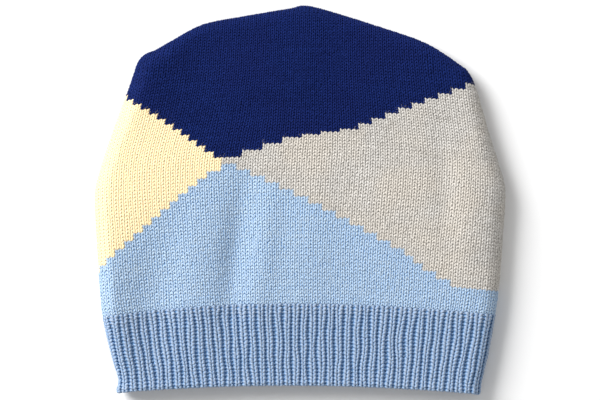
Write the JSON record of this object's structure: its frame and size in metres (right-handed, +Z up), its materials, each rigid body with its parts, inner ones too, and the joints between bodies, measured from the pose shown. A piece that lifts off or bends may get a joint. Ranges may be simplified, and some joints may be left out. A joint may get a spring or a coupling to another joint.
{
  "type": "knitted beanie",
  "caption": "Adult beanie knitted in blocks of navy, cream, grey and light blue over a ribbed band, lying flat and hollow, open at the rim.",
  "frame": {"origin": "on the floor under the middle of the hat's outline, as it lies flat with its front up", "axes": "+X across the front to its right, +Y from the rim toward the crown, +Z up from the underside to the front"},
  "size_m": [0.2398, 0.2269, 0.0173],
  "materials": {
    "navy_yarn": "matt navy wool and acrylic yarn, plain knit",
    "cream_yarn": "matt cream yarn, plain knit",
    "grey_yarn": "matt grey marl yarn, plain knit",
    "blue_yarn": "matt light blue yarn, plain knit",
    "rib_yarn": "matt light blue yarn, one-by-one rib"
  },
  "bodies": {
    "root": {"navy_crown": "navy_yarn", "cream_side": "cream_yarn", "grey_side": "grey_yarn", "blue_lower_body": "blue_yarn", "rib_band": "rib_yarn"}
  },
  "joints": []
}
